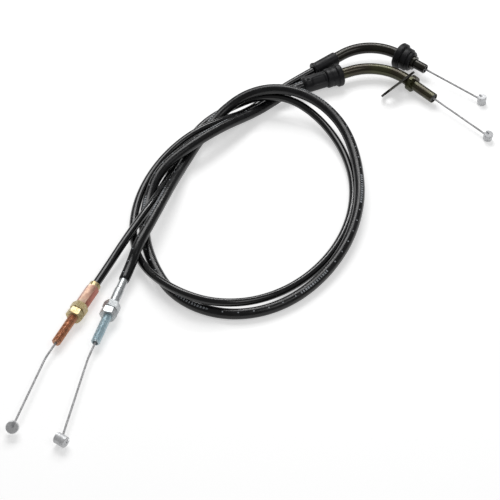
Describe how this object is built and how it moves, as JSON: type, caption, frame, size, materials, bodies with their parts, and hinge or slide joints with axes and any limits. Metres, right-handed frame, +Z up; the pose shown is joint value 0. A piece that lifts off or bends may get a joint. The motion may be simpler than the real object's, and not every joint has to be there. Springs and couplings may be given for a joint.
{
  "type": "motorcycle throttle cable pair",
  "caption": "Pair of throttle cables: black sheaths in a loose coil, bent steel elbows with rubber seats at one end, threaded adjusters with locknuts and barrel nipples at the other.",
  "frame": {"origin": "middle of the fittings' footprint, on the surface that the cables lie on", "axes": "+Z up; +X towards the grip end's nipples; +Y from the carburettor end to the grip end"},
  "size_m": [0.3222, 0.3767, 0.0233],
  "materials": {
    "sheath_black_satin": "satin extruded",
    "sheath_black_gloss": "gloss extruded",
    "spring_steel": "drawn",
    "liner_white": "smooth",
    "strand_steel": "stranded",
    "nickel": "satin plated",
    "zinc_blue": "blue zinc plated",
    "zinc_silver": "silver zinc plated",
    "zinc_copper": "copper tone zinc plated",
    "zinc_yellow": "yellow zinc plated",
    "zinc_olive": "olive zinc plated",
    "zinc_dark": "dark olive zinc plated",
    "rubber_black": "moulded",
    "guide_black": "smooth"
  },
  "bodies": {
    "sheaths_and_elbows": {"pull_jacket": "sheath_black_satin", "return_jacket": "sheath_black_gloss", "pull_conduit": "spring_steel", "return_conduit": "spring_steel", "pull_liner": "liner_white", "return_liner": "liner_white", "pull_inner_wire": "strand_steel", "return_inner_wire": "strand_steel", "pull_ferrule": "zinc_silver", "pull_adjuster": "zinc_blue", "return_crimp_ring": "zinc_yellow", "return_adjuster": "zinc_copper", "pull_dust_sleeve": "rubber_black", "pull_seat_rubber": "rubber_black", "return_boot": "rubber_black", "return_grommet": "rubber_black", "pull_elbow": "zinc_olive", "pull_collar": "zinc_olive", "pull_wire_guide": "guide_black", "return_elbow": "zinc_dark", "return_nose_bush": "zinc_dark", "return_collar": "zinc_olive"},
    "pull_carb_end": {"pull_carb_wire": "strand_steel", "pull_carb_nipple": "nickel"},
    "pull_grip_end": {"pull_grip_wire": "strand_steel", "pull_grip_nipple": "nickel"},
    "return_carb_end": {"return_carb_wire": "strand_steel", "return_carb_nipple": "nickel"},
    "return_grip_end": {"return_grip_wire": "strand_steel", "return_grip_nipple": "nickel"},
    "pull_upper_nut": {"pull_upper_locknut": "zinc_silver"},
    "pull_lower_nut": {"pull_lower_locknut": "zinc_silver"},
    "return_upper_nut": {"return_upper_locknut": "zinc_yellow"},
    "return_lower_nut": {"return_lower_locknut": "zinc_yellow"},
    "retainer_plate": {"pull_retainer_plate": "zinc_olive"}
  },
  "joints": [
    {"name": "pull_carb_stroke", "type": "slide", "parent": "sheaths_and_elbows", "child": "pull_carb_end", "axis": [-0.2891, -0.9567, -0.0344], "range_m": [0, 0.032]},
    {"name": "pull_grip_stroke", "type": "slide", "parent": "sheaths_and_elbows", "child": "pull_grip_end", "axis": [0.6952, -0.7171, -0.0494], "range_m": [-0.032, 0]},
    {"name": "pull_upper_nut_travel", "type": "slide", "parent": "sheaths_and_elbows", "child": "pull_upper_nut", "axis": [-0.2891, -0.9567, -0.0344], "range_m": [0, 0.01]},
    {"name": "pull_lower_nut_travel", "type": "slide", "parent": "pull_upper_nut", "child": "pull_lower_nut", "axis": [-0.2891, -0.9567, -0.0344], "range_m": [0, 0.012]},
    {"name": "return_carb_stroke", "type": "slide", "parent": "sheaths_and_elbows", "child": "return_carb_end", "axis": [-0.4119, -0.9111, -0.0166], "range_m": [0, 0.032]},
    {"name": "return_grip_stroke", "type": "slide", "parent": "sheaths_and_elbows", "child": "return_grip_end", "axis": [0.8049, -0.586, -0.0936], "range_m": [-0.032, 0]},
    {"name": "return_upper_nut_travel", "type": "slide", "parent": "sheaths_and_elbows", "child": "return_upper_nut", "axis": [-0.4119, -0.9111, -0.0166], "range_m": [0, 0.01]},
    {"name": "return_lower_nut_travel", "type": "slide", "parent": "return_upper_nut", "child": "return_lower_nut", "axis": [-0.4119, -0.9111, -0.0166], "range_m": [0, 0.012]},
    {"name": "retainer_swivel", "type": "hinge", "parent": "sheaths_and_elbows", "child": "retainer_plate", "pos_m": [0.10204, 0.15357, 0.00757], "axis": [0.6952, -0.7171, -0.0494], "range_deg": [-110, 8]}
  ],
  "couplings": [
    {"joint": "pull_grip_stroke", "follows": "pull_carb_stroke", "ratio": -1},
    {"joint": "return_grip_stroke", "follows": "return_carb_stroke", "ratio": -1}
  ]
}
